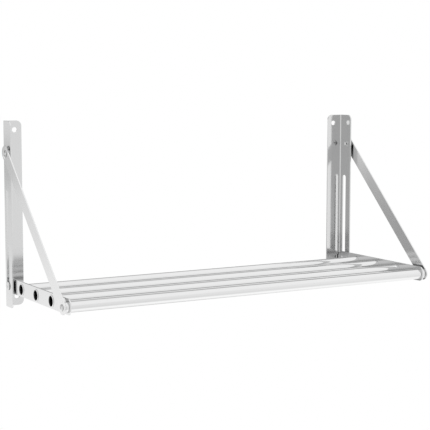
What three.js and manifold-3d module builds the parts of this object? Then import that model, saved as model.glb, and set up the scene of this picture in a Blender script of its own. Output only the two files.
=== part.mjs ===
// Folding wall-mounted towel rack in stainless steel. Two angle brackets screw to the wall. A shelf of four
// tubes between two flat arms hangs from two flat struts. The rear of each arm ends in a pin that runs in a
// slot of its bracket, so the shelf folds down flat against the wall while the pins climb the slots.
//
// Millimetres. +X runs along the tubes to the right, +Y into the wall, +Z up. The origin lies on the wall,
// midway between the brackets, level with their lower edges.
import * as THREE from "three";
import { mergeVertices } from "three/addons/utils/BufferGeometryUtils.js";
import Module from "manifold-3d";

const wasm = await Module();
wasm.setup();

// ---- Driving dimensions ----

const RACK_WIDTH = 600; // between the outer faces of the two brackets
const GAP = 0.3; // between two pieces that touch on the real rack
const EDGE_ROUNDING = 0.35; // broken edge of every flat strip
const ARC_STEPS = 6; // straight pieces in a quarter turn of an outline
const TURN_STEPS = 24; // facets round a small turned piece
const TUBE_STEPS = 48; // facets round a tube

// Wall brackets: steel angle, one leg on the wall and one leg facing sideways
const BRACKET_HEIGHT = 272;
const WALL_LEG = 28.3;
const SIDE_LEG = 29.5;
const BRACKET_SHEET = 2;
const BEND_RADIUS = 4; // outside of the bend
const LEG_CORNER = 8; // radius of the four free corners
const SCREW_HOLE = 7.6;
const SCREW_FROM_END = 13.5;
const SCREW_FROM_SIDE = 17.5; // from the bracket's outer face

// Slot that guides the shelf's rear pin
const SLOT_WIDTH = 8.6;
const SLOT_FROM_WALL = 13;
const SLOT_BELOW_TOP = 100.4; // from the bracket's top edge down to the slot's upper end
const PIN_HEIGHT = 31.5; // of the pin's axis, at the bottom of the slot

// Upper pivot of the strut
const PIVOT_FROM_WALL = 18.8;
const PIVOT_BELOW_TOP = 47.9;

// Shelf: arms and tubes
const ARM_SHEET = 2;
const ARM_GAP = 1.7; // between a bracket's inner face and the arm
const ARM_HEIGHT = 22;
const ARM_BELOW_AXIS = 10.5; // from the line of bores down to the lower edge
const ARM_REAR_CORNER = 9.4;
const ARM_FRONT_CORNER = 7.5;
const ARM_BEHIND_PIN = 9.5;
const ARM_PAST_FRONT_TUBE = 9.3;
const TUBE_DIAMETER = 15;
const TUBE_WALL = 0.6;
const REAR_TUBES = 3;
const TUBE_PITCH = 54.4;
const PIN_TO_FIRST_TUBE = 42.5;
const LIP_DIAMETER = 17.8; // of the rim that is flared over the arm
const LIP_THICKNESS = 0.8;
const MOUTH_ROUNDING = 0.3; // of the bore's mouth in that rim

// Struts
const STRUT_SHEET = 2;
const STRUT_WIDTH = 19.3;
const STRUT_GAP = 2.2; // between a bracket's outer face and the strut
const STRUT_PAST_PIVOT = 13.5;
const STRUT_PAST_FRONT_TUBE = 9.7;

// Rivets, pins and washers
const RIVET_SHANK = 6;
const RIVET_HEAD = 12;
const RIVET_HEAD_HEIGHT = 1.3;
const RIVET_DIMPLE = 3.6;
const RIVET_DIMPLE_DEPTH = 0.7;
const RIVET_TAIL = 9;
const RIVET_TAIL_HEIGHT = 1.6;
const FRONT_RIVET_HEAD = 9.4;
const PIN_SHOULDER = 8;
const PIN_HEAD = 12.5;
const PIN_HEAD_HEIGHT = 1.3;
const PIVOT_WASHER = 14;
const PIN_WASHER = 13;

// Plugs in the front tube's ends
const PLUG_LIP = 1;
const PLUG_DEPTH = 14;
const PLUG_BORE = 4.2;
const PLUG_BORE_DEPTH = 9;
const PLUG_CHAMFER = 0.8;

// ---- Derived sizes ----
// Distances "out" are measured sideways from a bracket's outer face, positive away from the rack's middle.

const ARM_OUTER = -BRACKET_SHEET - ARM_GAP;
const ARM_INNER = ARM_OUTER - ARM_SHEET;
const STRUT_OUTER = STRUT_GAP + STRUT_SHEET;
const PLUG_END = STRUT_GAP - GAP;
const FRONT_TUBE_END = PLUG_END - PLUG_LIP - GAP;
const REAR_TUBE_END = ARM_OUTER + GAP + LIP_THICKNESS;
const SHANK_HOLE = RIVET_SHANK + 2 * GAP;
const TUBE_HOLE = TUBE_DIAMETER + 2 * GAP;
const PIVOT_HEIGHT = BRACKET_HEIGHT - PIVOT_BELOW_TOP;
const SLOT_TOP = BRACKET_HEIGHT - SLOT_BELOW_TOP;
const SLOT_BOTTOM = PIN_HEIGHT - PIN_SHOULDER / 2 - GAP;
const FRONT_TUBE_FROM_WALL = SLOT_FROM_WALL + PIN_TO_FIRST_TUBE + REAR_TUBES * TUBE_PITCH;
const STRUT_RUN = FRONT_TUBE_FROM_WALL - PIVOT_FROM_WALL;
const STRUT_DROP = PIVOT_HEIGHT - PIN_HEIGHT;
const STRUT_LENGTH = Math.hypot(STRUT_RUN, STRUT_DROP); // between its two pivots

// ---- Finishes ----

const steel = (color, roughness) => new THREE.MeshStandardMaterial({ color, roughness, metalness: 1 });
const polishedSteel = steel(0xd9dadb, 0.16);
const tubeSteel = steel(0xe0e1e2, 0.1);
const rivetSteel = steel(0xcfd0d2, 0.25);
const nylon = new THREE.MeshStandardMaterial({ color: 0x26272a, roughness: 0.6, metalness: 0 });

// ---- Outlines and solids ----

const vec = (x, y) => new THREE.Vector2(x, y);

// Points on an arc about a centre, both ends included.
function arc(centre, radius, from, to, steps) {
  return Array.from({ length: steps + 1 }, (_, i) => {
    const angle = from + ((to - from) * i) / steps;
    return vec(centre.x + radius * Math.cos(angle), centre.y + radius * Math.sin(angle));
  });
}

// A closed outline through corners [x, y, radius], each one rounded to its own radius.
function roundedOutline(corners) {
  return corners.flatMap(([x, y, radius], i) => {
    const corner = vec(x, y);
    if (!radius) return [corner];
    const towards = (j) => {
      const [px, py] = corners.at(j % corners.length);
      return vec(px, py).sub(corner).normalize();
    };
    const before = towards(i - 1);
    const after = towards(i + 1);
    const half = Math.acos(before.dot(after)) / 2;
    const middle = before.clone().add(after).normalize();
    const centre = corner.clone().addScaledVector(middle, radius / Math.sin(half));
    const start = corner.clone().addScaledVector(before, radius / Math.tan(half)).sub(centre);
    const turn = Math.sign(after.cross(before)) * (Math.PI - 2 * half);
    return arc(centre, radius, start.angle(), start.angle() + turn, ARC_STEPS);
  });
}

const circle = (x, y, diameter) => arc(vec(x, y), diameter / 2, 0, 2 * Math.PI, 4 * ARC_STEPS).slice(0, -1);

// Neighbouring arcs that meet in one point would leave it twice in the outline.
function withoutRepeats(points) {
  return points.filter((p, i) => p.distanceTo(points.at(i - 1)) > 1e-6);
}

// A flat outline with holes, given thickness, with its long edges broken by `rounding`.
function extruded(outline, holes, depth, rounding) {
  const shape = new THREE.Shape(withoutRepeats(outline));
  shape.holes = holes.map((hole) => new THREE.Path(withoutRepeats(hole)));
  return new THREE.ExtrudeGeometry(shape, {
    depth: depth - 2 * rounding,
    bevelEnabled: rounding > 0,
    bevelThickness: rounding,
    bevelSize: rounding,
    bevelOffset: -rounding,
    bevelSegments: 1,
  }).translate(0, 0, rounding);
}

// Axes for something drawn in (y, z) and extruded along x, or drawn in (x, z) and extruded along -y.
const ALONG_X = new THREE.Matrix4().set(0, 0, 1, 0, 1, 0, 0, 0, 0, 1, 0, 0, 0, 0, 0, 1);
const ALONG_Y = new THREE.Matrix4().set(1, 0, 0, 0, 0, 0, -1, 0, 0, 1, 0, 0, 0, 0, 0, 1);

// A turned solid from its half section [radius, height]; a ring's section closes on itself.
function turned(section, steps) {
  return new THREE.LatheGeometry(section.map(([radius, height]) => vec(radius, height)), steps);
}

function toSolid(geometry) {
  const bare = geometry.clone();
  bare.deleteAttribute("normal");
  bare.deleteAttribute("uv");
  const merged = mergeVertices(bare, 1e-4);
  return new wasm.Manifold(
    new wasm.Mesh({
      numProp: 3,
      vertProperties: merged.attributes.position.array,
      triVerts: new Uint32Array(merged.index.array),
    }),
  );
}

function toGeometry(solid) {
  const mesh = solid.getMesh();
  const geometry = new THREE.BufferGeometry();
  geometry.setAttribute("position", new THREE.BufferAttribute(mesh.vertProperties, 3));
  geometry.setIndex(new THREE.BufferAttribute(mesh.triVerts, 1));
  return geometry;
}

function named(name, geometry, material) {
  const mesh = new THREE.Mesh(geometry, material);
  mesh.name = name;
  return mesh;
}

// A turned piece of one side, its local +Y pointing out and its zero at the bracket's outer face.
function sidewaysPiece(name, side, section, material, fromWall, height) {
  const piece = named(name, turned(section, TURN_STEPS), material);
  piece.rotation.z = (-side * Math.PI) / 2;
  piece.position.set((side * RACK_WIDTH) / 2, -fromWall, height);
  return piece;
}

// ---- Wall bracket ----

// Drawn for the right side: x runs inward from the outer face, so the left one is its mirror image.
function wallBracket(name, side) {
  const inward = (x) => side * (RACK_WIDTH / 2 - x);
  const tip = BRACKET_SHEET * 0.4;
  const angleSection = roundedOutline([
    [inward(0), 0, BEND_RADIUS],
    [inward(WALL_LEG), 0, tip],
    [inward(WALL_LEG), -BRACKET_SHEET, tip],
    [inward(BRACKET_SHEET), -BRACKET_SHEET, BEND_RADIUS - BRACKET_SHEET],
    [inward(BRACKET_SHEET), -SIDE_LEG, tip],
    [inward(0), -SIDE_LEG, tip],
  ]);
  const angle = toSolid(extruded(angleSection, [], BRACKET_HEIGHT, 0));

  const wallOutline = roundedOutline([
    [inward(-1), 0, 0],
    [inward(WALL_LEG), 0, LEG_CORNER],
    [inward(WALL_LEG), BRACKET_HEIGHT, LEG_CORNER],
    [inward(-1), BRACKET_HEIGHT, 0],
  ]);
  const wallBlank = toSolid(extruded(wallOutline, [], SIDE_LEG + 2, 0).translate(0, 0, -1).applyMatrix4(ALONG_Y));

  const sideOutline = roundedOutline([
    [1, 0, 0],
    [1, BRACKET_HEIGHT, 0],
    [-SIDE_LEG, BRACKET_HEIGHT, LEG_CORNER],
    [-SIDE_LEG, 0, LEG_CORNER],
  ]);
  const sideCut = (outline) =>
    toSolid(
      extruded(outline, [], WALL_LEG + 2, 0)
        .translate(0, 0, -WALL_LEG / 2 - 1)
        .applyMatrix4(ALONG_X)
        .translate(inward(WALL_LEG / 2), 0, 0),
    );

  const screwHoles = [SCREW_FROM_END, BRACKET_HEIGHT - SCREW_FROM_END].map((height) =>
    toSolid(
      extruded(circle(inward(SCREW_FROM_SIDE), height, SCREW_HOLE), [], 3 * BRACKET_SHEET, 0)
        .translate(0, 0, -BRACKET_SHEET)
        .applyMatrix4(ALONG_Y),
    ),
  );

  const slotOutline = roundedOutline([
    [-SLOT_FROM_WALL - SLOT_WIDTH / 2, SLOT_BOTTOM, SLOT_WIDTH / 2],
    [-SLOT_FROM_WALL + SLOT_WIDTH / 2, SLOT_BOTTOM, SLOT_WIDTH / 2],
    [-SLOT_FROM_WALL + SLOT_WIDTH / 2, SLOT_TOP, SLOT_WIDTH / 2],
    [-SLOT_FROM_WALL - SLOT_WIDTH / 2, SLOT_TOP, SLOT_WIDTH / 2],
  ]);
  const sideHoles = [slotOutline, circle(-PIVOT_FROM_WALL, PIVOT_HEIGHT, SHANK_HOLE)];

  let bracket = angle.intersect(wallBlank).intersect(sideCut(sideOutline));
  for (const hole of [...screwHoles, ...sideHoles.map(sideCut)]) bracket = bracket.subtract(hole);
  return named(name, toGeometry(bracket), polishedSteel);
}

// ---- Shelf ----

// y of tube number i, counted from the wall; the last one is the front tube.
const tubeY = (i) => -SLOT_FROM_WALL - PIN_TO_FIRST_TUBE - i * TUBE_PITCH;

function arm(name, side) {
  const rear = -SLOT_FROM_WALL + ARM_BEHIND_PIN;
  const front = -FRONT_TUBE_FROM_WALL - ARM_PAST_FRONT_TUBE;
  const bottom = PIN_HEIGHT - ARM_BELOW_AXIS;
  const outline = roundedOutline([
    [rear, bottom, ARM_REAR_CORNER],
    [rear, bottom + ARM_HEIGHT, ARM_REAR_CORNER],
    [front, bottom + ARM_HEIGHT, ARM_FRONT_CORNER],
    [front, bottom, ARM_FRONT_CORNER],
  ]);
  const tubeHoles = Array.from({ length: REAR_TUBES + 1 }, (_, i) => circle(tubeY(i), PIN_HEIGHT, TUBE_HOLE));
  const pinHole = circle(-SLOT_FROM_WALL, PIN_HEIGHT, SHANK_HOLE);
  const plate = extruded(outline, [pinHole, ...tubeHoles], ARM_SHEET, EDGE_ROUNDING).applyMatrix4(ALONG_X);
  const piece = named(name, plate, polishedSteel);
  piece.position.x = side > 0 ? RACK_WIDTH / 2 + ARM_INNER : -RACK_WIDTH / 2 - ARM_OUTER;
  return piece;
}

// A tube drawn about its own middle, with both ends flared over the arms.
function rearTube(name, i) {
  const end = RACK_WIDTH / 2 + REAR_TUBE_END;
  const outer = TUBE_DIAMETER / 2;
  const bore = outer - TUBE_WALL;
  const lip = LIP_DIAMETER / 2;
  const farHalf = [
    [outer, end - LIP_THICKNESS],
    [lip, end - LIP_THICKNESS],
    [lip, end - LIP_THICKNESS / 2],
    [lip - LIP_THICKNESS / 2, end],
    [bore + MOUTH_ROUNDING, end],
    [bore, end - MOUTH_ROUNDING],
  ];
  const nearHalf = farHalf.map(([radius, height]) => [radius, -height]).reverse();
  const section = [...nearHalf, ...farHalf, nearHalf[0]];
  return lying(named(name, turned(section, TUBE_STEPS), tubeSteel), i);
}

// The front tube runs through the arms, and its ends are closed by plugs.
function frontTube(name) {
  const end = RACK_WIDTH / 2 + FRONT_TUBE_END;
  const outer = TUBE_DIAMETER / 2;
  const bore = outer - TUBE_WALL;
  const section = [
    [bore, -end],
    [outer, -end],
    [outer, end],
    [bore, end],
    [bore, -end],
  ];
  return lying(named(name, turned(section, TUBE_STEPS), tubeSteel), REAR_TUBES);
}

function lying(tube, i) {
  tube.rotation.z = -Math.PI / 2;
  tube.position.set(0, tubeY(i), PIN_HEIGHT);
  return tube;
}

function frontTubePlug(name, side) {
  const body = TUBE_DIAMETER / 2 - TUBE_WALL - GAP;
  const lip = TUBE_DIAMETER / 2;
  const section = [
    [0, PLUG_END - PLUG_DEPTH],
    [body - PLUG_CHAMFER, PLUG_END - PLUG_DEPTH],
    [body, PLUG_END - PLUG_DEPTH + PLUG_CHAMFER],
    [body, PLUG_END - PLUG_LIP],
    [lip, PLUG_END - PLUG_LIP],
    [lip, PLUG_END],
    [PLUG_BORE / 2, PLUG_END],
    [PLUG_BORE / 2, PLUG_END - PLUG_BORE_DEPTH],
    [0, PLUG_END - PLUG_BORE_DEPTH],
  ];
  return sidewaysPiece(name, side, section, rivetSteel, FRONT_TUBE_FROM_WALL, PIN_HEIGHT);
}

// ---- Struts ----

// Drawn along its own length, from the upper pivot at (0, 0) down to the front pivot, then leaned out.
function strut(name, side) {
  const half = STRUT_WIDTH / 2;
  const outline = roundedOutline([
    [-half, STRUT_PAST_PIVOT, half],
    [-half, -STRUT_LENGTH - STRUT_PAST_FRONT_TUBE, half],
    [half, -STRUT_LENGTH - STRUT_PAST_FRONT_TUBE, half],
    [half, STRUT_PAST_PIVOT, half],
  ]);
  const holes = [circle(0, 0, SHANK_HOLE), circle(0, -STRUT_LENGTH, SHANK_HOLE)];
  const plate = extruded(outline, holes, STRUT_SHEET, EDGE_ROUNDING).applyMatrix4(ALONG_X);
  const piece = named(name, plate, polishedSteel);
  piece.rotation.x = -Math.atan2(STRUT_RUN, STRUT_DROP);
  const inner = side > 0 ? STRUT_GAP : -STRUT_OUTER;
  piece.position.set((side * RACK_WIDTH) / 2 + inner, -PIVOT_FROM_WALL, PIVOT_HEIGHT);
  return piece;
}

// ---- Rivets, pins and washers ----

// Half section of a low domed head, from its rim at `base` up to a dimple on the axis.
function domedHead(diameter, base, height) {
  const rim = height * 0.45;
  const dimple = RIVET_DIMPLE / 2;
  const dome = Array.from({ length: 5 }, (_, i) => {
    const share = i / 4;
    const radius = diameter / 2 + (dimple - diameter / 2) * share;
    return [radius, base + rim + (height - rim) * Math.sin((share * Math.PI) / 2)];
  });
  return [
    [diameter / 2, base],
    ...dome,
    [dimple * 0.7, base + height - RIVET_DIMPLE_DEPTH],
    [0, base + height - RIVET_DIMPLE_DEPTH],
  ];
}

// Holds the strut to the bracket: head outside the strut, tail closed on the bracket's inner face.
function pivotRivet(name, side) {
  const shank = RIVET_SHANK / 2;
  const tail = -BRACKET_SHEET - GAP;
  const section = [
    [0, tail - RIVET_TAIL_HEIGHT],
    [RIVET_TAIL / 2 - RIVET_TAIL_HEIGHT / 2, tail - RIVET_TAIL_HEIGHT],
    [RIVET_TAIL / 2, tail - RIVET_TAIL_HEIGHT / 2],
    [RIVET_TAIL / 2, tail],
    [shank, tail],
    [shank, STRUT_OUTER + GAP],
    ...domedHead(RIVET_HEAD, STRUT_OUTER + GAP, RIVET_HEAD_HEIGHT),
  ];
  return sidewaysPiece(name, side, section, rivetSteel, PIVOT_FROM_WALL, PIVOT_HEIGHT);
}

// Holds the strut's lower end to the front tube's plug. Its shank stops level with the strut's inner face.
function frontRivet(name, side) {
  const shank = RIVET_SHANK / 2;
  const section = [
    [0, STRUT_GAP],
    [shank, STRUT_GAP],
    [shank, STRUT_OUTER + GAP],
    ...domedHead(FRONT_RIVET_HEAD, STRUT_OUTER + GAP, RIVET_HEAD_HEIGHT),
  ];
  return sidewaysPiece(name, side, section, rivetSteel, FRONT_TUBE_FROM_WALL, PIN_HEIGHT);
}

// Runs in the bracket's slot on its shoulder, and its neck is riveted through the arm.
function slotPin(name, side) {
  const neck = RIVET_SHANK / 2;
  const shoulder = PIN_SHOULDER / 2;
  const head = PIN_HEAD / 2;
  const tail = ARM_INNER - GAP;
  const edge = PIN_HEAD_HEIGHT / 3;
  const section = [
    [0, tail - RIVET_TAIL_HEIGHT],
    [RIVET_TAIL / 2 - RIVET_TAIL_HEIGHT / 2, tail - RIVET_TAIL_HEIGHT],
    [RIVET_TAIL / 2, tail - RIVET_TAIL_HEIGHT / 2],
    [RIVET_TAIL / 2, tail],
    [neck, tail],
    [neck, -BRACKET_SHEET],
    [shoulder, -BRACKET_SHEET],
    [shoulder, GAP],
    [head, GAP],
    [head, GAP + PIN_HEAD_HEIGHT - edge],
    [head - 2 * edge, GAP + PIN_HEAD_HEIGHT],
    [0, GAP + PIN_HEAD_HEIGHT],
  ];
  return sidewaysPiece(name, side, section, rivetSteel, SLOT_FROM_WALL, PIN_HEIGHT);
}

function washer(name, side, material, diameter, from, to, fromWall, height) {
  const bore = SHANK_HOLE / 2;
  const section = [
    [bore, from],
    [diameter / 2, from],
    [diameter / 2, to],
    [bore, to],
    [bore, from],
  ];
  return sidewaysPiece(name, side, section, material, fromWall, height);
}

// ---- Assembly ----

const rack = new THREE.Group();
const shelf = new THREE.Group();
for (let i = 0; i < REAR_TUBES; i += 1) shelf.add(rearTube(`shelf_tube_${i + 1}`, i));
shelf.add(frontTube("front_tube"));

for (const [word, side] of [
  ["left", -1],
  ["right", 1],
]) {
  rack.add(
    wallBracket(`${word}_wall_bracket`, side),
    strut(`${word}_strut`, side),
    pivotRivet(`${word}_pivot_rivet`, side),
    washer(
      `${word}_pivot_washer`,
      side,
      rivetSteel,
      PIVOT_WASHER,
      GAP,
      STRUT_GAP - GAP,
      PIVOT_FROM_WALL,
      PIVOT_HEIGHT,
    ),
    frontRivet(`${word}_front_rivet`, side),
    slotPin(`${word}_slot_pin`, side),
    washer(
      `${word}_pin_washer`,
      side,
      nylon,
      PIN_WASHER,
      ARM_OUTER + GAP,
      -BRACKET_SHEET - GAP,
      SLOT_FROM_WALL,
      PIN_HEIGHT,
    ),
  );
  shelf.add(arm(`${word}_arm`, side), frontTubePlug(`${word}_front_plug`, side));
}
rack.add(shelf);

export default rack;
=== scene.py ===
# %% [markdown]
# # A folding towel rack in stainless steel
# Two angle brackets screw to the wall, two flat arms carry four tubes, and two flat struts hold the front up.
# The frame is the finished construction model: it fixes every size, and it knows which pieces move together.
# This lesson dresses that frame. Each piece is modelled again as a smooth surface, and gets its own steel.

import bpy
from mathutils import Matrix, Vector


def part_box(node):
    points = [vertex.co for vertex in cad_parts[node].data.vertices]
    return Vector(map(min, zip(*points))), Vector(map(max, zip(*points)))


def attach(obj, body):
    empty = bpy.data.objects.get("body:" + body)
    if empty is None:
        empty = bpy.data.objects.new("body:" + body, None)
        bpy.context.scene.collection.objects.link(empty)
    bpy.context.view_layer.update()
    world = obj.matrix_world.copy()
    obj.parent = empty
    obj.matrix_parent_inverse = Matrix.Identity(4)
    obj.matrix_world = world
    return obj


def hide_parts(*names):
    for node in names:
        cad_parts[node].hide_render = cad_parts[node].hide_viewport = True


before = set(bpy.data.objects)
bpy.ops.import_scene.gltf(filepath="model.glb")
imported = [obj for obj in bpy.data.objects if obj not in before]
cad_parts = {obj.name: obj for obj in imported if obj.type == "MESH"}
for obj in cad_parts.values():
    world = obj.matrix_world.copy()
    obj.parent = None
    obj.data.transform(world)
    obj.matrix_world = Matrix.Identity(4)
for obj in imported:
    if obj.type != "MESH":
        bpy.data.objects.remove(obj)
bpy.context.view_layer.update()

import bpy
import numpy as np
from mathutils import Matrix, Vector
from mathutils.geometry import tessellate_polygon

MM = 0.001
BOTH_SIDES = {"left": -1, "right": 1}

# %% [markdown]
# ## What the frame knows
# A size or a place that the frame shows is read from it: the box of each piece, the middle line of each
# round one, and from two such lines the length and the lean of the struts. So the smooth pieces land where
# the plain ones were. What a box doesn't show, such as the width of a slot, has a named value further on.

# %% Places from the frame


def box_of(node):
    """The lowest and the highest corner of a node, as two rows of x, y and z."""
    return np.array([list(corner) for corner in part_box(node)])


def axis_of(node):
    """The y and z of a round node's middle line, which runs sideways."""
    return box_of(node).mean(axis=0)[1:]


def radius_of(node):
    """The radius of a round node."""
    return np.ptp(box_of(node)[:, 2]) / 2


pin_axis = axis_of("left_slot_pin")
upper_pivot, lower_pivot = axis_of("left_pivot_rivet"), axis_of("left_front_rivet")
strut_length = np.linalg.norm(upper_pivot - lower_pivot)
strut_lean = np.arctan2(*(upper_pivot - lower_pivot))
tube_radius = radius_of("front_tube")
bracket_face = abs(box_of("left_wall_bracket")[0, 0])
print("struts", round(strut_length, 4), "m between pivots, at", round(np.degrees(strut_lean), 1), "degrees")

# %% [markdown]
# ## The camera
# The rack is seen from its left front, a little above the tubes, with a long lens. A long lens keeps the two
# brackets nearly parallel. The camera could be aimed by a constraint at a target. It is placed by a point
# and three angles instead, as it is set up in a studio: where the tripod stands, how far the camera is
# turned, how far it looks down, and how far it is out of level.

# %% Camera
CAMERA_PLACE = (-0.9822, -1.8029, 0.3397)  # metres
CAMERA_TURN = 29.93  # degrees from looking straight at the wall
CAMERA_DIP = 6.15  # degrees below the horizon
CAMERA_ROLL = 0.05  # degrees out of level
LENS = 109.65  # millimetres
SENSOR = 36  # millimetres


def turn_about(axis, degrees):
    """A turn about one of the camera's own axes."""
    return Matrix.Rotation(np.radians(degrees), 4, axis)


camera_data = bpy.data.cameras.new("camera")
camera_data.lens = LENS
camera_data.sensor_width = SENSOR
camera = bpy.data.objects.new("camera", camera_data)
camera.matrix_world = (
    Matrix.Translation(CAMERA_PLACE)
    @ turn_about("Z", -CAMERA_TURN)
    @ turn_about("X", 90 - CAMERA_DIP)
    @ turn_about("Z", CAMERA_ROLL)
)
bpy.context.collection.objects.link(camera)
bpy.context.scene.camera = camera
bpy.context.scene.view_settings.view_transform = "Standard"
print("camera at", CAMERA_PLACE)

# %% [markdown]
# ## Writing materials as sums
# A node tree is a drawing of a calculation. It could be drawn by hand in the shader editor. The small class
# below lets it be written as sums instead, which are shorter to read: a Signal stands for the output of a
# node, and `1 - mask` or `grain * 0.2` adds the Math node it needs. Every other kind of node comes from one
# method, which takes its type, its settings and its inputs.

# %% Signals and graphs


class Signal:
    """One output of a node. Sums and products of signals add Math nodes to the tree."""

    def __init__(self, graph, socket):
        self.graph = graph
        self.socket = socket

    def maths(self, operation, *values):
        return self.graph.node("ShaderNodeMath", {"operation": operation}, dict(enumerate(values)))

    def __add__(self, other):
        return self.maths("ADD", self, other)

    def __sub__(self, other):
        return self.maths("SUBTRACT", self, other)

    def __rsub__(self, other):
        return self.maths("SUBTRACT", other, self)

    def __mul__(self, other):
        return self.maths("MULTIPLY", self, other)

    __radd__ = __add__
    __rmul__ = __mul__


class Graph:
    """A node tree that is drawn one node at a time."""

    def __init__(self, tree):
        self.tree = tree
        tree.nodes.clear()

    def node(self, kind, settings=None, inputs=None, output=0):
        """Adds a node. Settings are its attributes; inputs are values or Signals, by name or number."""
        made = self.tree.nodes.new(kind)
        for name, value in (settings or {}).items():
            setattr(made, name, value)
        for name, value in (inputs or {}).items():
            if isinstance(value, Signal):
                self.tree.links.new(value.socket, made.inputs[name])
            else:
                made.inputs[name].default_value = value
        return Signal(self, made.outputs[output]) if made.outputs else made

    def ease(self, value, start, end):
        """0 where value is at start, 1 where it is at end, with soft shoulders between."""
        return self.node(
            "ShaderNodeMapRange",
            {"interpolation_type": "SMOOTHSTEP"},
            {"Value": value, "From Min": start, "From Max": end},
        )

    def blend(self, factor, first, second):
        """The first colour where factor is 0, the second where it is 1, and a mixture between."""
        return self.node("ShaderNodeMix", {"data_type": "RGBA"}, {0: factor, 6: first, 7: second}, output=2)


print("signals and graphs are ready")

# %% [markdown]
# ## The studio
# Polished steel has hardly any colour of its own. What is seen is the room: a light tent that is bright
# above, below and in front, and dimmer where its back stands open and where the crew stands. Large lamps
# could light the rack too, but in a mirror a lamp has hard edges. So the room is a world shader that works
# out a brightness for each direction, from its azimuth (0 looks into the wall, 90 to the right) and its
# elevation, with soft edges throughout. The camera itself sees plain white behind the rack.

# %% World
TENT_LIGHT = 1.37
# Each part has the amount by which it is dimmer, the azimuth of its middle, how far it is whole to either
# side and where it ends, and the elevations where it starts, is whole, begins to fade and ends. The last
# part has a negative amount: it is brighter.
DIM_PARTS = {
    "open back": (0.25, 15, 34, 45, (-14, -5, 25, 75)),
    "right of the back": (0.45, 34, 14, 32, (-10, -3, 22, 48)),
    "right, below": (0.55, 31, 8, 16, (-55, -40, -8, -2)),
    "left of the back": (0.55, -38, 16, 30, (0, 6, 28, 45)),
    "left corner": (0.66, -40, 0, 16, (-22, -12, -5, -1.5)),
    "left gap": (0.28, -18, 2.2, 4.5, (-5.3, -4.5, -3.3, -2.5)),
    "left band": (0.07, -18, 2.2, 4.5, (-8.9, -7.3, -3.7, -2.1)),
    "camera side": (0.23, -143, 35, 95, (-50, -15, 14, 46)),
    "front, below": (0.08, 148, 12, 30, (-45, -35, -19, -9)),
    "glow of the floor": (-0.12, 125, 20, 60, (-69, -58, -52, -41)),
}
world = bpy.data.worlds.new("light_tent")
bpy.context.scene.world = world
world.use_nodes = True
tent = Graph(world.node_tree)


def tent_brightness(graph):
    """Brightness of the tent in a direction: 1, less every dim part that lies there, times TENT_LIGHT.

    A part is its amount times smooth steps in azimuth and in elevation, each 1 where the part is whole and 0
    outside it."""
    direction = graph.node("ShaderNodeTexCoord")
    across, inward, upward = (
        graph.node("ShaderNodeSeparateXYZ", inputs={0: direction}, output=axis) for axis in range(3)
    )
    degrees = 180 / np.pi
    azimuth = across.maths("ARCTAN2", across, inward) * degrees
    elevation = upward.maths("ARCSINE", upward) * degrees
    brightness = 1
    for amount, middle, whole, none, (start, full, fading, end) in DIM_PARTS.values():
        away = azimuth.maths("ABSOLUTE", azimuth.maths("WRAP", azimuth - middle, 180, -180))
        height = graph.ease(elevation, start, full) * graph.ease(elevation, end, fading)
        brightness = brightness - graph.ease(away, none, whole) * height * amount
    return brightness * TENT_LIGHT


def white_to_the_camera(graph, light):
    """Plain white for the camera's own rays, and the light of the tent for every other ray."""
    seen = graph.node("ShaderNodeLightPath")
    plain = graph.node("ShaderNodeBackground", inputs={"Color": (1, 1, 1, 1), "Strength": 1})
    room = graph.node("ShaderNodeBackground", inputs={"Color": (1, 1, 1, 1), "Strength": light})
    return graph.node("ShaderNodeMixShader", inputs={0: seen, 1: room, 2: plain})


tent.node("ShaderNodeOutputWorld", inputs={0: white_to_the_camera(tent, tent_brightness(tent))})
print("world:", world.name, "with", len(world.node_tree.nodes), "nodes")

# %% [markdown]
# ## The floor
# The rack hangs at the height of a person's chest, so the floor is well below it. A square of floor would
# show its far edge as a line. This one is a pale disc that fades into the white around it, and it is left
# out of the reflections, where the tent already has a floor.

# %% Floor
FLOOR_DROP = 1.2  # metres, as all lengths here
FLOOR_RADIUS = 2.9
FLOOR_RINGS = 12
FLOOR_SPOKES = 96
FLOOR_PAINT = (0.93, 0.93, 0.93, 1)
FADE_START = 0.5 * FLOOR_RADIUS
FADE_END = 0.98 * FLOOR_RADIUS


def floor_disc(name):
    """A flat disc. Point (i, j) has radius FLOOR_RADIUS * i / FLOOR_RINGS and angle 2 pi j / FLOOR_SPOKES."""
    radii = np.linspace(0, FLOOR_RADIUS, FLOOR_RINGS + 1)[1:]
    angles = np.linspace(0, 2 * np.pi, FLOOR_SPOKES, endpoint=False)
    radius, angle = np.meshgrid(radii, angles, indexing="ij")
    level = np.full_like(radius, -FLOOR_DROP)
    points = np.stack([radius * np.cos(angle), radius * np.sin(angle), level], axis=-1)
    count = np.arange(radius.size).reshape(radius.shape)
    after = np.roll(count, -1, axis=1)
    quads = np.stack([count[:-1], count[1:], after[1:], after[:-1]], axis=-1).reshape(-1, 4)
    mesh = bpy.data.meshes.new(name)
    mesh.from_pydata(points.reshape(-1, 3).tolist(), [], quads.tolist() + [count[0].tolist()])
    disc = bpy.data.objects.new(name, mesh)
    bpy.context.collection.objects.link(disc)
    return disc


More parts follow.
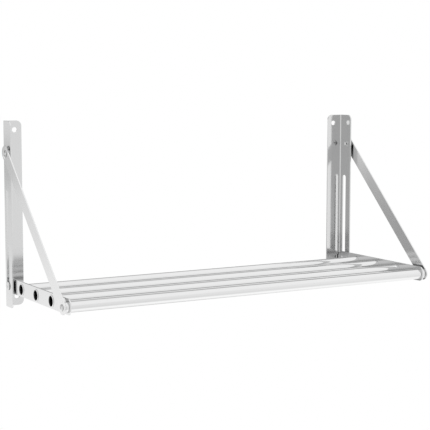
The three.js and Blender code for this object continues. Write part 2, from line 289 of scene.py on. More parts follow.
def pale_floor_material():
    """Pale paint that turns, between FADE_START and FADE_END from the middle, into a plain white glow."""
    material = bpy.data.materials.new("pale_floor")
    material.use_nodes = True
    graph = Graph(material.node_tree)
    place = graph.node("ShaderNodeTexCoord", output=3)
    across = graph.node("ShaderNodeSeparateXYZ", inputs={0: place}, output=0)
    deep = graph.node("ShaderNodeSeparateXYZ", inputs={0: place}, output=1)
    from_middle = across.maths("SQRT", across * across + deep * deep)
    paint = graph.node("ShaderNodeBsdfDiffuse", inputs={"Color": FLOOR_PAINT})
    glow = graph.node("ShaderNodeEmission", inputs={"Color": (1, 1, 1, 1), "Strength": 1})
    fade = graph.ease(from_middle, FADE_START, FADE_END)
    shade = graph.node("ShaderNodeMixShader", inputs={0: fade, 1: paint, 2: glow})
    graph.node("ShaderNodeOutputMaterial", inputs={0: shade})
    return material


floor = floor_disc("floor")
floor.data.materials.append(pale_floor_material())
floor.visible_glossy = False
print("floor", FLOOR_DROP, "m below the brackets")

# %% [markdown]
# ## Five steels
# All the steel is the same alloy, finished in different ways. Sheet that was rolled and then polished keeps
# faint lines along its length, and the brackets, the arms and the struts differ a little in tone and in
# gloss. A tube is drawn through a die before it is polished, so its lines run along it too, and it is the
# glossiest. Rivets are turned or pressed and look greyer. The lines could come from a painted texture, but
# noise that is stretched along a piece never repeats and has no seam. So a finish here is a base tone, a
# roughness that wanders a little, and a bump of fine lines stretched along the piece.

# %% Steels
GRAIN = 900  # how fine the lines of the polish are
HANDLING = 28  # how fine the patches are that handling leaves
DARKER, BRIGHTER = (0.965, 0.968, 0.972), (1.03, 1.03, 1.028)  # what wear multiplies the base tone by
HANDLING_DULLS, LINES_DULL, BORE_DULLS = 0.05, 0.04, 0.3  # what each adds to the roughness at most
LINE_RELIEF, LINE_DEPTH = 0.06, 0.02 * MM
# painted shade: the near black that the inside of a tube or a hollow rivet is given
BORE_PAINTED_SHADE = (0.05, 0.05, 0.05, 1)


def open_material(name):
    """An empty material and the graph to draw it in."""
    material = bpy.data.materials.new(name)
    material.use_nodes = True
    return material, Graph(material.node_tree)


def close_material(graph, tone, metallic, roughness, normal):
    """Ends a graph in a Principled shader. tone, roughness and normal are signals; metallic is one value."""
    inputs = {"Base Color": tone, "Metallic": metallic, "Roughness": roughness, "Normal": normal}
    shader = graph.node("ShaderNodeBsdfPrincipled", inputs=inputs)
    graph.node("ShaderNodeOutputMaterial", inputs={0: shader})


EVEN = (1, 1, 1)  # a stretch that favours no axis


def noise(graph, stretch, scale, detail, turn=(0, 0, 0)):
    """Noise between 0 and 1 in the piece's own metres, each axis multiplied by its own stretch."""
    place = graph.node("ShaderNodeTexCoord", output=3)
    along = graph.node("ShaderNodeMapping", inputs={"Vector": place, "Rotation": turn, "Scale": stretch})
    settings = {"noise_dimensions": "3D"}
    return graph.node("ShaderNodeTexNoise", settings, {"Vector": along, "Scale": scale, "Detail": detail})


def tinted(bright, tint):
    """The colour of a base tone times a tint."""
    return (*(bright * part for part in tint), 1)


def polished_steel(name, bright, rough, grain_stretch, grain_turn=(0, 0, 0)):
    """Stainless steel with fine lines: bright is its base tone and rough its roughness.

    The lines run along the axis whose stretch is smallest, once the piece is turned by grain_turn. Inside a
    tube or a hollow rivet the attribute bore lowers the tone to near black, as painted shade, and adds to
    the roughness, as a bore is left unpolished."""
    material, graph = open_material(name)
    lines = noise(graph, grain_stretch, GRAIN, detail=3, turn=grain_turn)
    handling = noise(graph, EVEN, HANDLING, detail=2)
    bore = graph.node("ShaderNodeAttribute", {"attribute_name": "bore"}, output=2)
    wear = lines * 0.5 + handling * 0.5
    polished = graph.blend(wear, tinted(bright, DARKER), tinted(bright, BRIGHTER))
    tone = graph.blend(bore, polished, BORE_PAINTED_SHADE)
    roughness = rough + (handling - 0.5) * HANDLING_DULLS + (lines - 0.5) * LINES_DULL + bore * BORE_DULLS
    relief = {"Strength": LINE_RELIEF, "Distance": LINE_DEPTH, "Height": lines}
    close_material(graph, tone, 1.0, roughness, graph.node("ShaderNodeBump", inputs=relief))
    return material


bracket_steel = polished_steel("rolled_bracket_steel", 0.57, 0.12, (1, 1, 0.02))
strut_steel = polished_steel("rolled_strut_steel", 0.61, 0.12, (1, 1, 0.02), (strut_lean, 0, 0))
arm_steel = polished_steel("rolled_arm_steel", 0.595, 0.08, (1, 0.02, 1))
tube_steel = polished_steel("drawn_tube_steel", 0.61, 0.05, (0.01, 1, 1))
rivet_steel = polished_steel("turned_rivet_steel", 0.54, 0.15, EVEN)
print("finishes:", [material.name for material in bpy.data.materials])

# %% [markdown]
# ## A nylon
# The washers on the sliding pins are black nylon: a dark plastic with a fine, slightly uneven skin. One
# flat colour would look like paint, so a little noise breaks up its tone and its gloss.

# %% Nylon
SKIN = 1500  # how fine the unevenness of the skin is
SKIN_LOW, SKIN_HIGH = (0.014, 0.014, 0.015, 1), (0.024, 0.024, 0.025, 1)
SKIN_RELIEF, SKIN_DEPTH = 0.3, 0.05 * MM


def black_nylon(name):
    """Near black, half rough, with a skin of fine noise in its tone, its roughness and its bump."""
    material, graph = open_material(name)
    skin = noise(graph, EVEN, SKIN, detail=2)
    tone = graph.blend(skin, SKIN_LOW, SKIN_HIGH)
    relief = {"Strength": SKIN_RELIEF, "Distance": SKIN_DEPTH, "Height": skin}
    close_material(graph, tone, 0.0, 0.5 + (skin - 0.5) * 0.1, graph.node("ShaderNodeBump", inputs=relief))
    return material


washer_nylon = black_nylon("black_nylon")
print(washer_nylon.name, "is ready")

# %% [markdown]
# ## Lines with rounded corners
# Every piece here starts as a line of straight sides and round corners: the outline of a plate, or half the
# section of a turned piece. A Bevel modifier could round the corners of a finished mesh, but it has to
# estimate how the surface turns. Where each corner is drawn as a true arc, the direction that the surface
# faces is known exactly at every point, so reflections run over the corner without a kink.

# %% Rounded lines
SAME_PLACE = 1e-8  # points nearer together than this are one


def rounded_line(corners, closed=True, steps=8):
    """Points and outward normals of a line through corners (a, b, r), each rounded to its radius r.

    The line turns at a corner from heading h0 to heading h1. The arc has the normals (sin h, -cos h) for the
    headings h between the two. It begins r * tan(|h1 - h0| / 2) before the corner, and its points are its
    centre plus r times the normal, or minus r times it where the line turns to the right. Outward is the
    right of the heading."""
    corners = np.asarray(corners, float)
    point, radius = corners[:, :2], corners[:, 2]
    after = np.roll(point, -1, axis=0) - point
    before = np.roll(after, 1, axis=0)
    if not closed:
        before[0], after[-1] = after[0], before[-1]
    heading = np.arctan2(before[:, 1], before[:, 0])
    turn = (np.arctan2(after[:, 1], after[:, 0]) - heading + np.pi) % (2 * np.pi) - np.pi
    angle = heading[:, None] + turn[:, None] * np.linspace(0, 1, steps + 1)
    normal = np.stack([np.sin(angle), -np.cos(angle)], axis=-1)
    signed = (radius * np.sign(turn))[:, None]
    reach = (radius * np.tan(np.abs(turn) / 2))[:, None]
    start = point - np.stack([np.cos(heading), np.sin(heading)], axis=-1) * reach
    centre = start - signed * normal[:, 0]
    line = centre[:, None] + signed[:, None] * normal
    line, normal = line.reshape(-1, 2), normal.reshape(-1, 2)
    gap = np.linalg.norm(line - np.roll(line, 1, axis=0), axis=1)
    keep = gap > SAME_PLACE
    if not closed:
        keep[0] = True
    return line[keep], normal[keep]


def round_hole(a, b, diameter, steps=48):
    """A circle walked clockwise, so that outward points into the hole.

    Point i is (a, b) plus half the diameter times (cos t, sin t), where t = -2 pi i / steps."""
    angle = np.linspace(0, -2 * np.pi, steps, endpoint=False)
    facing = np.stack([np.cos(angle), np.sin(angle)], axis=-1)
    return np.array([a, b]) + facing * diameter / 2, -facing


square = rounded_line([(0, 0, 0.1), (1, 0, 0.1), (1, 1, 0.1), (0, 1, 0.1)])
print("a rounded square has", len(square[0]), "points")

# %% [markdown]
# ## From arrays to pieces
# A mesh is filled from whole arrays: points, the way each point faces, and faces. If the volume that the
# faces enclose comes out negative they all look inwards, as they do on a piece that is mirrored to the
# left, and then the order of every face is turned round.

# %% Pieces


def enclosed_volume(points, faces):
    """A sixth of the sum of a . (b x c) over the triangles (a, b, c) that the faces fan into."""
    total = 0.0
    for size in {len(face) for face in faces}:
        corner = points[np.array([face for face in faces if len(face) == size])]
        for k in range(1, size - 1):
            total += np.einsum("ij,ij->", corner[:, 0], np.cross(corner[:, k], corner[:, k + 1])) / 6
    return total


def make_piece(name, points, facing, faces, material, body, node, bore_shade_and_dulling=None):
    """A named smooth mesh that rides on a body and stands for a CAD node.

    Its last argument is 1 for points inside a tube or a hollow rivet and 0 elsewhere. There the steel's
    finish paints shade, near black, and adds roughness."""
    if enclosed_volume(points, faces) < 0:
        faces = [face[::-1] for face in faces]
    mesh = bpy.data.meshes.new(name)
    mesh.from_pydata(points.tolist(), [], faces)
    mesh.polygons.foreach_set("use_smooth", np.ones(len(faces), bool))
    mesh.normals_split_custom_set_from_vertices(facing.tolist())
    mesh.materials.append(material)
    if bore_shade_and_dulling is not None:
        mesh.attributes.new("bore", "FLOAT", "POINT").data.foreach_set("value", bore_shade_and_dulling)
    piece = bpy.data.objects.new(name, mesh)
    bpy.context.collection.objects.link(piece)
    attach(piece, body)
    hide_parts(node)
    print(name, len(points), "points,", len(faces), "faces")


def grid_faces(index, wrap_rows):
    """Quads between neighbouring rows of an index grid whose columns close on themselves."""
    right = np.roll(index, -1, axis=1)
    lower, upper = (index, np.roll(index, -1, axis=0)) if wrap_rows else (index[:-1], index[1:])
    lower_right, upper_right = (right, np.roll(right, -1, axis=0)) if wrap_rows else (right[:-1], right[1:])
    return np.stack([lower, lower_right, upper_right, upper], axis=-1).reshape(-1, 4)


print("a ring of 3 by 4 points has", len(grid_faces(np.arange(12).reshape(3, 4), True)), "faces")

# %% [markdown]
# ## Turned pieces
# Tubes, rivets, pins, plugs and washers are all round about a line that runs sideways. Half of such a
# piece's section, carried once round that line, is the whole piece. The Screw modifier does the same to a
# drawn profile. Here it is worked out as arrays, so that the exact normals of the section go round with it.
# A section that begins and ends on the line is closed with a single point at each end.

# %% Turned pieces


def turned(section, normal, axis_y, axis_z, origin_x, side, closed, spokes):
    """Carries a section of (radius, distance) about the line y = axis_y, z = axis_z.

    Point (i, j) = (origin_x + side * distance_i, axis_y + radius_i cos a_j, axis_z + radius_i sin a_j)."""
    angle = np.linspace(0, 2 * np.pi, spokes, endpoint=False)
    cosine, sine, flat = np.cos(angle), np.sin(angle), np.zeros_like(angle)
    radius, along = section[:, :1], section[:, 1:]
    outward, onward = normal[:, :1], normal[:, 1:]
    points = [origin_x + side * (along + flat), axis_y + radius * cosine, axis_z + radius * sine]
    facing = [side * (onward + flat), outward * cosine, outward * sine]
    points, facing = np.stack(points, axis=-1), np.stack(facing, axis=-1)
    if not closed:
        return pointed(points, facing, spokes)
    index = np.arange(radius.size * spokes).reshape(-1, spokes)
    return points.reshape(-1, 3), facing.reshape(-1, 3), grid_faces(index, True).tolist()


def pointed(points, facing, spokes):
    """The same grid with its first and last rings, which lie on the axis, drawn together into points."""
    rings = np.arange(points[1:-1, :, 0].size).reshape(-1, spokes)
    first, last = rings.size, rings.size + 1
    points = np.vstack([points[1:-1].reshape(-1, 3), points[[0, -1], 0]])
    facing = np.vstack([facing[1:-1].reshape(-1, 3), facing[[0, -1], 0]])
    around = np.roll(rings, -1, axis=1)
    start_fan = np.stack([np.full(spokes, first), around[0], rings[0]], axis=-1)
    end_fan = np.stack([np.full(spokes, last), rings[-1], around[-1]], axis=-1)
    faces = grid_faces(rings, False).tolist() + start_fan.tolist() + end_fan.tolist()
    return points, facing, faces


def ring(inside, outside, start, end, edge):
    """Corners of the half section of a plain ring or tube, each rounded to the radius edge."""
    return [(inside, start, edge), (outside, start, edge), (outside, end, edge), (inside, end, edge)]


print("a plain ring has", len(rounded_line(ring(3, 5, 0, 1, 0.1), steps=5)[0]), "points in its half section")

# %% [markdown]
# ### The rear tubes
# Each rear tube pokes through both arms, and its ends are flared over them by a cone that is pressed in: a
# thin bright lip round a bore whose darkness is painted shade. The lip could be a ring laid against a plain
# tube, but then a joint would show where the real one has none, so the flare is part of the section. It is
# drawn for the far end and mirrored to the near end, and both lips are alike.

# %% Rear tubes
SEAT = 0.02 * MM  # left between two pieces that touch
TUBE_WALL = 0.6 * MM
MOUTH_WALL = 0.15 * MM
MOUTH_DEPTH = 1.4 * MM
LIP_THICKNESS = 0.8 * MM
LIP_ROUNDING = 0.6 * MM
FLARE_ROUNDING = 0.5 * MM
SHARP, CRISP, FINE, EASED, SOFT = 0.05 * MM, 0.1 * MM, 0.15 * MM, 0.2 * MM, 0.3 * MM  # radii of small edges
TUBE_SPOKES = 96
bore_radius = tube_radius - TUBE_WALL
arm_face = box_of("right_arm")[1, 0]


def rear_tube_section(lip_radius):
    """Corners of a tube's half section: out along the lips and the outside, back through the bore."""
    lip, end = arm_face + SEAT, arm_face + LIP_THICKNESS
    far = [
        (tube_radius, lip, SHARP),
        (lip_radius, lip, CRISP),
        (lip_radius, end, LIP_ROUNDING),
        (tube_radius - MOUTH_WALL, end, CRISP),
        (bore_radius, end - MOUTH_DEPTH, FLARE_ROUNDING),
    ]
    near = [(radius, -along, rounding) for radius, along, rounding in reversed(far)]
    return near + far


for number in (1, 2, 3):
    node = f"shelf_tube_{number}"
    section, normal = rounded_line(rear_tube_section(radius_of(node)), steps=5)
    points, facing, faces = turned(section, normal, *axis_of(node), 0.0, 1, True, TUBE_SPOKES)
    # points that face the axis, in the bore and the mouth of the flare, get the painted shade and more
    # roughness
    towards_axis = normal[:, 0] < -0.5
    bore_shade_and_dulling = np.repeat(towards_axis, TUBE_SPOKES).astype(float)
    make_piece(f"rear_tube_{number}", points, facing, faces, tube_steel, "shelf", node, bore_shade_and_dulling)

# %% [markdown]
# ### The front tube
# The front tube is plain. It passes through both arms, and plugs close its ends.

# %% Front tube
half_length = box_of("front_tube")[1, 0]
section, normal = rounded_line(ring(bore_radius, tube_radius, -half_length, half_length, EASED), steps=3)
points, facing, faces = turned(section, normal, *axis_of("front_tube"), 0.0, 1, True, TUBE_SPOKES)
make_piece("front_rail", points, facing, faces, tube_steel, "shelf", "front_tube")

# %% [markdown]
# ## Fasteners
# Plugs, rivets, pins and washers are drawn once, with distances measured outwards from the bracket's outer
# face, and made for both sides. A left piece could be a mirrored copy of the right one, but an object here
# stays unscaled, so the mirroring is done on the points. Rivets have low domed heads, with a dimple where
# the punch closed them.

# %% Both sides
SMALL_SPOKES = 64
SHANK = 3 * MM  # radius
TAIL = 4.5 * MM  # radius
SHEET = 2 * MM  # thickness of a bracket
GAP = 0.3 * MM  # clearance round a piece in its hole
HEAD_ROUNDING = 0.4 * MM
CROWN = 0.72  # where the crown of a head begins, as a share of its radius
CROWN_ROUNDING = 1.5 * MM
DIMPLE = 1.7 * MM  # radius
DIMPLE_RIM, DIMPLE_RIM_ROUNDING = 0.9 * MM, 0.5 * MM
DIMPLE_ROUNDING = 0.25 * MM
DIMPLE_FLOOR = 0.8  # as a share of its mouth
DIMPLE_DEPTH = 1.2 * MM
TURNED_STEEL = (rivet_steel, "fastener_steel")  # a finish, and the slot that it fills
BLACK_NYLON = (washer_nylon, "washer_nylon")


def reach_of(node, side):
    """The nearest and farthest distance of a node from the bracket's outer face, outwards."""
    spread = side * box_of(node)[:, 0] - bracket_face
    return min(spread), max(spread)


def sideways_piece(name, node, side, corners, body, closed=False, hollow=0, look=TURNED_STEEL):
    """A turned piece. hollow is the radius within which its inner end gets the painted shade of a bore."""
    material, slot = look
    section, normal = rounded_line(corners, closed, steps=5)
    start = side * bracket_face
    points, facing, faces = turned(section, normal, *axis_of(node), start, side, closed, SMALL_SPOKES)
    from_axis = np.linalg.norm(points[:, 1:] - axis_of(node), axis=1)
    bore_shade_and_dulling = (from_axis < hollow) & (side * points[:, 0] < bracket_face)
    make_piece(name, points, facing, faces, material, body, node, bore_shade_and_dulling.astype(float))


def domed_head(radius, base, tip):
    """A low dome: the corners of its rim at base, shoulder, crown, dimple wall and dimple floor."""
    height = tip - base
    return [
        (radius, base, HEAD_ROUNDING),
        (radius, base + height / 2, HEAD_ROUNDING),
        (CROWN * radius, tip - height / 4, CROWN_ROUNDING),
        (DIMPLE + DIMPLE_RIM, tip, DIMPLE_RIM_ROUNDING),
        (DIMPLE, tip, DIMPLE_ROUNDING),
        (DIMPLE_FLOOR * DIMPLE, tip - DIMPLE_DEPTH, SOFT),
        (0, tip - DIMPLE_DEPTH, 0),
    ]


print("the heads of the pivot rivets are", round(2 * radius_of("left_pivot_rivet") / MM, 2), "mm across")

# %% [markdown]
# ### Plugs in the front tube
# A plug turned from bar fills each end of the front tube, and its lip covers the end of the tube. The hole
# down its middle takes the rivet that holds the strut.

# %% Plugs
PLUG_CHAMFER = 0.8 * MM
PLUG_HOLE = 2.1 * MM  # radius
PLUG_HOLE_DEPTH = 9 * MM

for word, side in BOTH_SIDES.items():
    node = f"{word}_front_plug"
    inner = reach_of(node, side)[0]
    outer = reach_of(f"{word}_strut", side)[0] - SEAT
    under_lip = reach_of("front_tube", side)[1] + SEAT
    lip = radius_of(node)
    fit = bore_radius - GAP
    corners = [
        (0, inner, 0),
        (fit, inner, PLUG_CHAMFER),
        (fit, under_lip, CRISP),
        (lip, under_lip, SHARP),
        (lip, outer, EASED),
        (PLUG_HOLE, outer, SOFT),
        (PLUG_HOLE, outer - PLUG_HOLE_DEPTH, EASED),
        (0, outer - PLUG_HOLE_DEPTH, 0),
    ]
    sideways_piece(f"{word}_plug", node, side, corners, "shelf")

# %% [markdown]
# ### Pivot rivets
# The upper rivets hold the struts to the brackets. The head is outside the strut. The tail is spread on the
# bracket's inner face by a tool that leaves a wide dish in it, with a small deep hole in the middle, whose
# inside gets painted shade.

# %% Pivot rivets
DISH = 3.4 * MM  # radius
DISH_DEPTH = 1.1 * MM
HOLLOW = 1 * MM  # radius
HOLLOW_DEPTH = 2.6 * MM
HOLLOW_TAPER = 0.1 * MM
# the hollow of the tail, out to this radius, gets painted shade, near black
PAINTED_SHADE_WITHIN = HOLLOW + SHARP

for word, side in BOTH_SIDES.items():
    node = f"{word}_pivot_rivet"
    inner, outer = reach_of(node, side)
    tail = -SHEET - SEAT
    under_head = reach_of(f"{word}_strut", side)[1] + SEAT
    corners = [
        (0, inner + HOLLOW_DEPTH, 0),
        (HOLLOW - HOLLOW_TAPER, inner + HOLLOW_DEPTH, SOFT),
        (HOLLOW, inner + DISH_DEPTH, CRISP),
        (DISH, inner, FINE),
        (TAIL, inner, HEAD_ROUNDING),
        (TAIL, tail, CRISP),
        (SHANK, tail, CRISP),
        (SHANK, under_head, CRISP),
        *domed_head(radius_of(node), under_head, outer),
    ]
    sideways_piece(f"{word}_upper_rivet", node, side, corners, "root", hollow=PAINTED_SHADE_WITHIN)

# %% [markdown]
# ### Front rivets
# The lower rivets hold the struts to the plugs. Here a rivet ends level with the strut's inner face,
# because it rides with the strut, and the strut comes away from its plug while the shelf folds.

# %% Front rivets
for word, side in BOTH_SIDES.items():
    node = f"{word}_front_rivet"
    inner, outer = reach_of(node, side)
    under_head = reach_of(f"{word}_strut", side)[1] + SEAT
    corners = [
        (0, inner, 0),
        (SHANK, inner, EASED),
        (SHANK, under_head, CRISP),
        *domed_head(radius_of(node), under_head, outer),
    ]
    sideways_piece(f"{word}_lower_rivet", node, side, corners, f"{word}_strut_body")

# %% [markdown]
# ### Sliding pins
# A pin runs in each bracket's slot on a shoulder as thick as the sheet. Its head is outside the bracket,
# and its neck passes through the arm and is riveted over inside it.

# %% Sliding pins
PIN_SHOULDER = 4 * MM  # radius
PIN_TAIL_ROUNDING = 1.1 * MM
PIN_HEAD_ROUNDING = 0.7 * MM
RECESS = 2.2 * MM  # radius
RECESS_FLOOR = 1.6 * MM  # radius
RECESS_DEPTH = 0.5 * MM

for word, side in BOTH_SIDES.items():
    node = f"{word}_slot_pin"
    inner, outer = reach_of(node, side)
    tail = reach_of(f"{word}_arm", side)[0] - SEAT
    head = radius_of(node)
    corners = [
        (0, inner, 0),
        (TAIL, inner, PIN_TAIL_ROUNDING),
        (TAIL, tail, CRISP),
        (SHANK, tail, CRISP),
        (SHANK, -SHEET, CRISP),
        (PIN_SHOULDER, -SHEET, FINE),
        (PIN_SHOULDER, GAP, CRISP),
        (head, GAP, FINE),
        (head, outer, PIN_HEAD_ROUNDING),
        (RECESS, outer, SOFT),
        (RECESS_FLOOR, outer - RECESS_DEPTH, SOFT),
        (0, outer - RECESS_DEPTH, 0),
    ]
    sideways_piece(f"{word}_slider", node, side, corners, "slot_pins")

# %% [markdown]
# ### Washers
# A steel washer keeps each strut off its bracket, and a nylon one keeps each arm off it. In the frame a
# washer has a GAP on either face. Here it reaches to a SEAT from its neighbours, so no light passes it.

# %% Washers
HOLE = SHANK + GAP  # radius of a hole that a shank turns in

for word, side in BOTH_SIDES.items():
    for place, body, look in (("pivot", "root", TURNED_STEEL), ("pin", "slot_pins", BLACK_NYLON)):
        node = f"{word}_{place}_washer"
        inner, outer = reach_of(node, side)
        corners = ring(HOLE, radius_of(node), inner - GAP + SEAT, outer + GAP - SEAT, FINE)
        sideways_piece(f"{word}_{place}_spacer", node, side, corners, body, closed=True, look=look)

# %% [markdown]
# ## Sheet metal
# The arms and struts are punched from flat strip, and the brackets from sheet. Such a plate could be a box
# whose holes are cut by Boolean modifiers, but those leave uneven faces that show in a mirror finish. Here
# a plate is an outline with holes, given thickness. Each loop of the outline carries a small section: a
# rounded edge, the cut wall, and the other rounded edge.

# %% Edges
EDGE = 0.35 * MM  # radius to which the edges of sheet and strip are broken
EDGE_STEPS = 4


def edge_section(thickness):
    """Inset, height and the two parts of the normal across a plate's edge.

    For angles t from 0 to 90 degrees the lower arc has inset EDGE * (1 - sin t), height EDGE * (1 - cos t)
    and normal (sin t, -cos t). The upper arc is its mirror image."""
    t = np.linspace(0, np.pi / 2, EDGE_STEPS + 1)
    inset, height = EDGE * (1 - np.sin(t)), EDGE * (1 - np.cos(t))
    outward, upward = np.sin(t), -np.cos(t)
    return (
        np.concatenate([inset, inset[::-1]]),
        np.concatenate([height, thickness - height[::-1]]),
        np.concatenate([outward, outward[::-1]]),
        np.concatenate([upward, -upward[::-1]]),
    )


print("a plate's edge has", len(edge_section(SHEET)[0]), "rows of points")

# %% [markdown]
# ### Flat faces
# The two flat faces of a plate are filled in between its loops. A face with holes is cut into triangles. A
# blank that will be folded is first cut into panels at its fold lines, so that no triangle lies across a
# fold.

# %% Flat faces
SLIVER = 1e-14  # twice the area of a triangle that is too thin to keep


def stretch(rim, start, end):
    """The points of a closed rim from place start to place end, going on past its last point if need be."""
    return rim[np.arange(start, end + 1 + len(rim) * (end < start)) % len(rim)]


def panels(points, rims, folds):
    """Cuts a flat face at its fold lines into panels, each an outline followed by the holes inside it."""
    outline, holes = rims[0], rims[1:]
    if not len(folds):
        return [rims]
    u, v = points[outline, 0], points[outline, 1]
    middle = (v.min() + v.max()) / 2
    low = [int(np.argmin(np.abs(u - fold) + (v > middle))) for fold in folds]
    high = [int(np.argmin(np.abs(u - fold) + (v < middle))) for fold in folds]
    made = [[stretch(outline, high[0], low[0])]]
    made += [[outline[[low[k], low[k + 1], high[k + 1], high[k]]]] for k in range(len(folds) - 1)]
    made += [[stretch(outline, low[-1], high[-1])]]
    for hole in holes:
        made[0 if points[hole, 0].mean() < folds[0] else -1].append(hole)
    return made


def filled(points, panel):
    """Triangles, or one quad, that fill a panel between its outline and its holes.

    Twice the area of (a, b, c) is (bx - ax)(cy - ay) - (by - ay)(cx - ax); where it is negative the triangle
    is turned over."""
    if len(panel) == 1 and len(panel[0]) == 4:
        return [panel[0].tolist()]
    flat = [[Vector((*points[i, :2], 0)) for i in rim] for rim in panel]
    index = np.concatenate(panel)
    triangles = index[np.array(tessellate_polygon(flat))]
    a, b, c = (points[triangles[:, k], :2] for k in range(3))
    area = (b[:, 0] - a[:, 0]) * (c[:, 1] - a[:, 1]) - (b[:, 1] - a[:, 1]) * (c[:, 0] - a[:, 0])
    triangles[area < 0] = triangles[area < 0][:, ::-1]
    return triangles[np.abs(area) > SLIVER].tolist()


print("going round a rim of 5 from 3 to 1:", stretch(np.arange(5), 3, 1))

# %% [markdown]
# ### Plates
# The bands of all loops and the filled faces together are the plate. It is drawn lying down, with u and v in
# its plane and w through its thickness, and is then stood up on the side of the rack where it belongs.

# %% Plates


def plate(loops, thickness, folds=()):
    """Points (u, v, w), normals and faces of a plate; loops[0] is its outline and the others are its holes.

    The band round a loop is point - inset * normal at each height. folds lists the u of every fold line, and
    the outline has a point on each line at the bottom and the top, so that no face lies across a fold."""
    inset, height, outward, upward = (row[:, None] for row in edge_section(thickness))
    points, facing, faces, bands = [], [], [], []
    first = 0
    for line, normal in loops:
        u, v = (line[:, k] - inset * normal[:, k] for k in (0, 1))
        nu, nv = (outward * normal[:, k] for k in (0, 1))
        points.append(np.stack([u, v, height + 0 * u], axis=-1).reshape(-1, 3))
        facing.append(np.stack([nu, nv, upward + 0 * u], axis=-1).reshape(-1, 3))
        band = first + np.arange(u.size).reshape(u.shape)
        faces += grid_faces(band, False).tolist()
        bands.append(band)
        first += u.size
    points, facing = np.vstack(points), np.vstack(facing)
    for row, turned_over in ((0, True), (-1, False)):
        for panel in panels(points, [band[row] for band in bands], folds):
            faces += [face[::-1] if turned_over else face for face in filled(points, panel)]
    return points, facing, faces


def sideways_plate(points, facing, origin, lean, outer_face, side):
    """Stands a drawn plate upright: w runs inwards from outer_face, and u and v lean from y and z by lean.

    y = oy + u cos(lean) + v sin(lean), z = oz - u sin(lean) + v cos(lean), x = side * (outer_face - w)."""
    across = np.array([0, np.cos(lean), -np.sin(lean)])
    along = np.array([0, np.sin(lean), np.cos(lean)])
    through = np.array([-side, 0, 0])
    base = np.vstack([across, along, through])
    start = np.array([side * outer_face, *origin])
    return start + points @ base, facing @ base


print("a rounded square plate has", len(plate([square], SHEET)[2]), "faces")

# %% [markdown]
# ### The arms
# An arm is a strip with round corners, drawn in the plane that faces sideways, with y and z as they are. It
# has a hole for the sliding pin and one for each tube.

# %% Arms
SHANK_HOLE = 2 * HOLE
TUBE_HOLE = 2 * (tube_radius + SEAT)
ARM_REAR_CORNER = 9.4 * MM
ARM_FRONT_CORNER = 7.5 * MM
tube_axes = [axis_of(node) for node in ("shelf_tube_1", "shelf_tube_2", "shelf_tube_3", "front_tube")]

for word, side in BOTH_SIDES.items():
    low, high = box_of(f"{word}_arm")
    corners = [
        (low[1], low[2], ARM_FRONT_CORNER),
        (high[1], low[2], ARM_REAR_CORNER),
        (high[1], high[2], ARM_REAR_CORNER),
        (low[1], high[2], ARM_FRONT_CORNER),
    ]
    holes = [round_hole(*pin_axis, SHANK_HOLE)] + [round_hole(*axis, TUBE_HOLE, 72) for axis in tube_axes]
    points, facing, faces = plate([rounded_line(corners, steps=16), *holes], high[0] - low[0])
    outer_face = max(side * low[0], side * high[0])
    points, facing = sideways_plate(points, facing, (0, 0), 0, outer_face, side)
    make_piece(f"{word}_side_arm", points, facing, faces, arm_steel, "shelf", f"{word}_arm")

# %% [markdown]
# ### The struts
# A strut is drawn upright along its own length, with round ends, then leaned out from its upper pivot to
# the end of the front tube. Its width follows from the height of its box, which is (whole_length - 2 *
# half_width) * cos(strut_lean) + 2 * half_width.

# %% Struts
STRUT_PAST_PIVOT = 13.5 * MM
STRUT_PAST_FRONT_TUBE = 9.7 * MM
box_height = np.ptp(box_of("left_strut")[:, 2])
whole_length = STRUT_PAST_PIVOT + strut_length + STRUT_PAST_FRONT_TUBE
half_width = (box_height - whole_length * np.cos(strut_lean)) / 2 / (1 - np.cos(strut_lean))

for word, side in BOTH_SIDES.items():
    low, high = box_of(f"{word}_strut")
    top, bottom = STRUT_PAST_PIVOT, -strut_length - STRUT_PAST_FRONT_TUBE
    corners = [(-half_width, bottom), (half_width, bottom), (half_width, top), (-half_width, top)]
    outline = rounded_line([(*corner, half_width) for corner in corners], steps=24)
    holes = [round_hole(0, 0, SHANK_HOLE), round_hole(0, -strut_length, SHANK_HOLE)]
    points, facing, faces = plate([outline, *holes], high[0] - low[0])
    outer_face = max(side * low[0], side * high[0])
    points, facing = sideways_plate(points, facing, upper_pivot, strut_lean, outer_face, side)
    body = f"{word}_strut_body"
    make_piece(f"{word}_stay", points, facing, faces, strut_steel, body, f"{word}_strut")
print("struts", round(2 * half_width, 4), "m wide")

# %% [markdown]
# ### Folding a blank
# A bracket could be drawn as an angle from the start. It is made the way the workshop makes it instead: the
# blank is drawn flat with all its holes, and then folded round its bend, so the bend and the holes come out
# where a press would put them. The blank has u running from the free edge of the wall leg, across the bend,
# to the free edge of the side leg. Folding keeps the sheet's length at the middle of its thickness.

# %% Folding
BEND_RADIUS = 4 * MM  # outside
MIDDLE_RADIUS = BEND_RADIUS - SHEET / 2
BEND = MIDDLE_RADIUS * np.pi / 2  # length of the blank that the bend takes up
FOLD_STEPS = 10


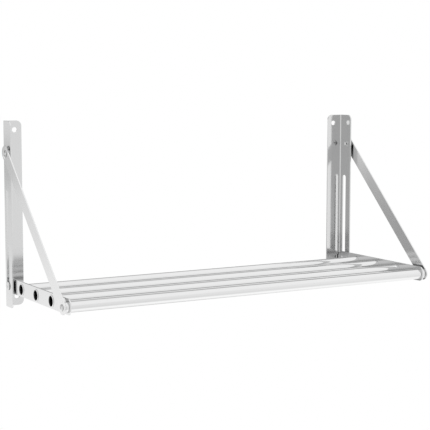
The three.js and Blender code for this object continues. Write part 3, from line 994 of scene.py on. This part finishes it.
def folded(points, facing, flat, side):
    """Folds a blank whose bend begins at u = flat and takes up the length BEND.

    In the bend the angle is t = (u - flat) / MIDDLE_RADIUS, and the point is the bend's centre plus
    (BEND_RADIUS - w) * (sin t, cos t). Before the bend t is 0 and x changes by u - flat. Beyond it t is 90
    degrees and y changes by what is left of u. x is then multiplied by side."""
    u, z, w = points.T
    t = np.clip((u - flat) / BEND, 0, 1) * np.pi / 2
    before, beyond = np.minimum(u - flat, 0), np.maximum(u - flat - BEND, 0)
    x = bracket_face - BEND_RADIUS + before + (BEND_RADIUS - w) * np.sin(t)
    y = -BEND_RADIUS - beyond + (BEND_RADIUS - w) * np.cos(t)
    nu, nz, nw = facing.T
    nx = nu * np.cos(t) - nw * np.sin(t)
    ny = -nu * np.sin(t) - nw * np.cos(t)
    return np.stack([side * x, y, z], axis=-1), np.stack([side * nx, ny, nz], axis=-1)


print("the bend takes up", round(BEND / MM, 2), "mm of the blank")

# %% [markdown]
# ### The brackets
# The wall leg has two holes for screws. The side leg has the long slot in which the sliding pin runs, and
# above it the hole for the pivot rivet.

# %% Brackets
LEG_CORNER = 8 * MM
SCREW_HOLE = 7.6 * MM
SCREW_FROM_END = 13.5 * MM
SCREW_FROM_SIDE = 17.5 * MM
SLOT_WIDTH = 8.6 * MM
SLOT_BELOW_TOP = 100.4 * MM


def slot_hole(u, low, high, width):
    """An upright slot, walked clockwise: a rectangle whose corners are rounded to half its width."""
    half = width / 2
    corners = [(u - half, low), (u - half, high), (u + half, high), (u + half, low)]
    return rounded_line([(*corner, half) for corner in corners], steps=16)


for word, side in BOTH_SIDES.items():
    low, high = box_of(f"{word}_wall_bracket")
    wall_leg, side_leg, height = high - low
    slot_bottom = pin_axis[1] - PIN_SHOULDER - GAP
    flat = wall_leg - BEND_RADIUS
    total = flat + BEND + side_leg - BEND_RADIUS
    folds = flat + BEND * np.linspace(0, 1, FOLD_STEPS + 1)
    corners = [
        (0, 0, LEG_CORNER),
        *[(u, 0, 0) for u in folds],
        (total, 0, LEG_CORNER),
        (total, height, LEG_CORNER),
        *[(u, height, 0) for u in folds[::-1]],
        (0, height, LEG_CORNER),
    ]
    wall_u = total - side_leg  # a place in the side leg is as far beyond this u as it is off the wall
    holes = [
        round_hole(wall_leg - SCREW_FROM_SIDE, SCREW_FROM_END, SCREW_HOLE),
        round_hole(wall_leg - SCREW_FROM_SIDE, height - SCREW_FROM_END, SCREW_HOLE),
        slot_hole(wall_u - pin_axis[0], slot_bottom, height - SLOT_BELOW_TOP, SLOT_WIDTH),
        round_hole(wall_u - upper_pivot[0], upper_pivot[1], SHANK_HOLE),
    ]
    points, facing, faces = plate([rounded_line(corners, steps=16), *holes], SHEET, folds)
    points, facing = folded(points, facing, flat, side)
    node = f"{word}_wall_bracket"
    make_piece(f"{word}_angle", points, facing, faces, bracket_steel, "root", node)
